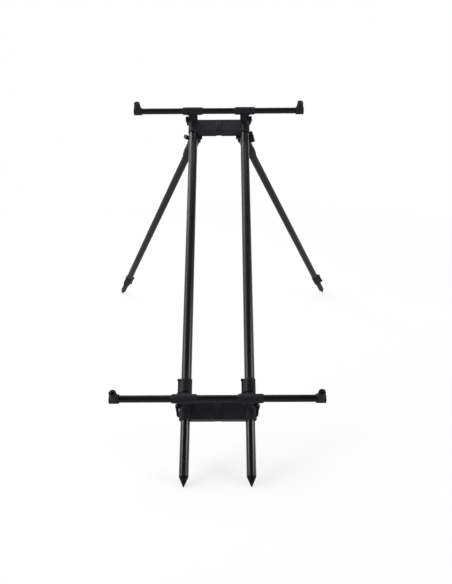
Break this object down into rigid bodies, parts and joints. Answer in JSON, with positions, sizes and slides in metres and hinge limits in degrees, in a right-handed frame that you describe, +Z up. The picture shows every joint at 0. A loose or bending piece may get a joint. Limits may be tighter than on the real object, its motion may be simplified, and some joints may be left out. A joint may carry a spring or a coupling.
{
  "type": "fishing rod pod",
  "caption": "Sloping twin tube rod pod with two cross bars, threaded rod rest sockets, spiked telescopic rear legs and splayed folding front legs.",
  "frame": {"origin": "on the ground under the middle of the four spiked feet", "axes": "+X to the right seen from behind the rods, +Y from the low rear feet towards the high front end, +Z up"},
  "size_m": [0.8624, 1.2654, 0.8176],
  "materials": {
    "gloss_tube": "hard black anodised, glossy",
    "satin_tube": "black anodised, satin",
    "moulding": "fine textured black moulding",
    "lever": "smooth black moulding",
    "steel": "plain turned steel",
    "dark_steel": "blackened turned steel",
    "insert": "blackened brass"
  },
  "bodies": {
    "pod_frame": {"front_crosspiece": "moulding", "left_main_tube": "gloss_tube", "left_main_tube_cap": "lever", "left_main_lock_collar": "moulding", "left_main_lock_pin": "steel", "left_hinge_bracket": "moulding", "right_main_tube": "gloss_tube", "right_main_tube_cap": "lever", "right_main_lock_collar": "moulding", "right_main_lock_pin": "steel", "right_hinge_bracket": "moulding", "front_left_bar_holder": "moulding", "front_left_cam_pin": "steel", "front_right_bar_holder": "moulding", "front_right_cam_pin": "steel"},
    "rear_carriage": {"rear_crosspiece": "moulding", "rear_left_bar_holder": "moulding", "rear_left_cam_pin": "steel", "rear_right_bar_holder": "moulding", "rear_right_cam_pin": "steel"},
    "left_rear_leg": {"left_rear_leg_tube": "gloss_tube", "left_rear_spike": "dark_steel"},
    "right_rear_leg": {"right_rear_leg_tube": "gloss_tube", "right_rear_spike": "dark_steel"},
    "left_main_lock_lever": {"left_main_lock_lever": "lever"},
    "right_main_lock_lever": {"right_main_lock_lever": "lever"},
    "front_left_cam_lever": {"front_left_cam_lever": "lever"},
    "front_right_cam_lever": {"front_right_cam_lever": "lever"},
    "front_bar": {"front_bar": "gloss_tube"},
    "front_left_tee": {"front_left_tee": "moulding", "front_left_tee_insert": "insert"},
    "front_right_tee": {"front_right_tee": "moulding", "front_right_tee_insert": "insert"},
    "rear_left_cam_lever": {"rear_left_cam_lever": "lever"},
    "rear_right_cam_lever": {"rear_right_cam_lever": "lever"},
    "rear_bar": {"rear_bar": "gloss_tube"},
    "rear_left_tee": {"rear_left_tee": "moulding", "rear_left_tee_insert": "insert"},
    "rear_right_tee": {"rear_right_tee": "moulding", "rear_right_tee_insert": "insert"},
    "left_front_leg": {"left_leg_head": "moulding", "left_hinge_bolt": "dark_steel", "left_front_leg_tube": "satin_tube", "left_leg_lock_collar": "moulding", "left_leg_lock_pin": "steel"},
    "left_hinge_knob": {"left_hinge_knob": "lever"},
    "left_leg_lock_lever": {"left_leg_lock_lever": "lever"},
    "left_front_inner_leg": {"left_front_inner_tube": "satin_tube", "left_front_spike": "dark_steel"},
    "right_front_leg": {"right_leg_head": "moulding", "right_hinge_bolt": "dark_steel", "right_front_leg_tube": "satin_tube", "right_leg_lock_collar": "moulding", "right_leg_lock_pin": "steel"},
    "right_hinge_knob": {"right_hinge_knob": "lever"},
    "right_leg_lock_lever": {"right_leg_lock_lever": "lever"},
    "right_front_inner_leg": {"right_front_inner_tube": "satin_tube", "right_front_spike": "dark_steel"}
  },
  "joints": [
    {"name": "rear_carriage_slide", "type": "slide", "parent": "pod_frame", "child": "rear_carriage", "axis": [0, -0.7385, -0.6743], "range_m": [-0.008, 0.3]},
    {"name": "left_rear_leg_slide", "type": "slide", "parent": "rear_carriage", "child": "left_rear_leg", "axis": [0, -0.7385, -0.6743], "range_m": [-0.12, 0.15]},
    {"name": "right_rear_leg_slide", "type": "slide", "parent": "rear_carriage", "child": "right_rear_leg", "axis": [0, -0.7385, -0.6743], "range_m": [-0.12, 0.15]},
    {"name": "left_main_lock_lever_turn", "type": "hinge", "parent": "pod_frame", "child": "left_main_lock_lever", "pos_m": [-0.09806, -0.44039, 0.18046], "axis": [0, -0.7385, -0.6743], "range_deg": [0, 110]},
    {"name": "right_main_lock_lever_turn", "type": "hinge", "parent": "pod_frame", "child": "right_main_lock_lever", "pos_m": [0.06194, -0.44039, 0.18046], "axis": [0, -0.7385, -0.6743], "range_deg": [0, 110]},
    {"name": "front_left_cam_lever_turn", "type": "hinge", "parent": "pod_frame", "child": "front_left_cam_lever", "pos_m": [-0.098, 0.14638, 0.76431], "axis": [0, 0.6743, -0.7385], "range_deg": [0, 120]},
    {"name": "front_right_cam_lever_turn", "type": "hinge", "parent": "pod_frame", "child": "front_right_cam_lever", "pos_m": [0.098, 0.14638, 0.76431], "axis": [0, -0.6743, 0.7385], "range_deg": [0, 120]},
    {"name": "front_bar_slide", "type": "slide", "parent": "pod_frame", "child": "front_bar", "axis": [1, 0, 0], "range_m": [-0.1, 0.1]},
    {"name": "front_left_tee_turn", "type": "hinge", "parent": "front_bar", "child": "front_left_tee", "pos_m": [-0.248, 0.14213, 0.78751], "axis": [1, 0, 0], "range_deg": [-90, 90]},
    {"name": "front_right_tee_turn", "type": "hinge", "parent": "front_bar", "child": "front_right_tee", "pos_m": [0.248, 0.14213, 0.78751], "axis": [1, 0, 0], "range_deg": [-90, 90]},
    {"name": "rear_left_cam_lever_turn", "type": "hinge", "parent": "rear_carriage", "child": "rear_left_cam_lever", "pos_m": [-0.098, -0.5234, 0.15272], "axis": [0, 0.6743, -0.7385], "range_deg": [0, 120]},
    {"name": "rear_right_cam_lever_turn", "type": "hinge", "parent": "rear_carriage", "child": "rear_right_cam_lever", "pos_m": [0.098, -0.5234, 0.15272], "axis": [0, -0.6743, 0.7385], "range_deg": [0, 120]},
    {"name": "rear_bar_slide", "type": "slide", "parent": "rear_carriage", "child": "rear_bar", "axis": [1, 0, 0], "range_m": [-0.1, 0.1]},
    {"name": "rear_left_tee_turn", "type": "hinge", "parent": "rear_bar", "child": "rear_left_tee", "pos_m": [-0.248, -0.52765, 0.17592], "axis": [1, 0, 0], "range_deg": [-90, 90]},
    {"name": "rear_right_tee_turn", "type": "hinge", "parent": "rear_bar", "child": "rear_right_tee", "pos_m": [0.248, -0.52765, 0.17592], "axis": [1, 0, 0], "range_deg": [-90, 90]},
    {"name": "left_front_leg_fold", "type": "hinge", "parent": "pod_frame", "child": "left_front_leg", "pos_m": [-0.0785, 0.19005, 0.69721], "axis": [-0.9176, -0.268, 0.2935], "range_deg": [0, 80.7]},
    {"name": "left_hinge_knob_turn", "type": "hinge", "parent": "left_front_leg", "child": "left_hinge_knob", "pos_m": [-0.0785, 0.19005, 0.69721], "axis": [-0.9176, -0.268, 0.2935], "range_deg": [0, 180]},
    {"name": "left_leg_lock_lever_turn", "type": "hinge", "parent": "left_front_leg", "child": "left_leg_lock_lever", "pos_m": [-0.36824, 0.58068, 0.08972], "axis": [-0.3923, 0.4927, -0.7768], "range_deg": [0, 110]},
    {"name": "left_front_inner_leg_slide", "type": "slide", "parent": "left_front_leg", "child": "left_front_inner_leg", "axis": [-0.3923, 0.4927, -0.7768], "range_m": [0, 0.45]},
    {"name": "right_front_leg_fold", "type": "hinge", "parent": "pod_frame", "child": "right_front_leg", "pos_m": [0.0785, 0.19005, 0.69721], "axis": [-0.9176, 0.268, -0.2935], "range_deg": [0, 80.7]},
    {"name": "right_hinge_knob_turn", "type": "hinge", "parent": "right_front_leg", "child": "right_hinge_knob", "pos_m": [0.0785, 0.19005, 0.69721], "axis": [0.9176, -0.268, 0.2935], "range_deg": [0, 180]},
    {"name": "right_leg_lock_lever_turn", "type": "hinge", "parent": "right_front_leg", "child": "right_leg_lock_lever", "pos_m": [0.39959, 0.57152, 0.09974], "axis": [0.3923, 0.4927, -0.7768], "range_deg": [0, 110]},
    {"name": "right_front_inner_leg_slide", "type": "slide", "parent": "right_front_leg", "child": "right_front_inner_leg", "axis": [0.3923, 0.4927, -0.7768], "range_m": [0, 0.45]}
  ],
  "couplings": [
    {"joint": "front_right_tee_turn", "follows": "front_left_tee_turn", "ratio": 1},
    {"joint": "rear_right_tee_turn", "follows": "rear_left_tee_turn", "ratio": 1}
  ]
}
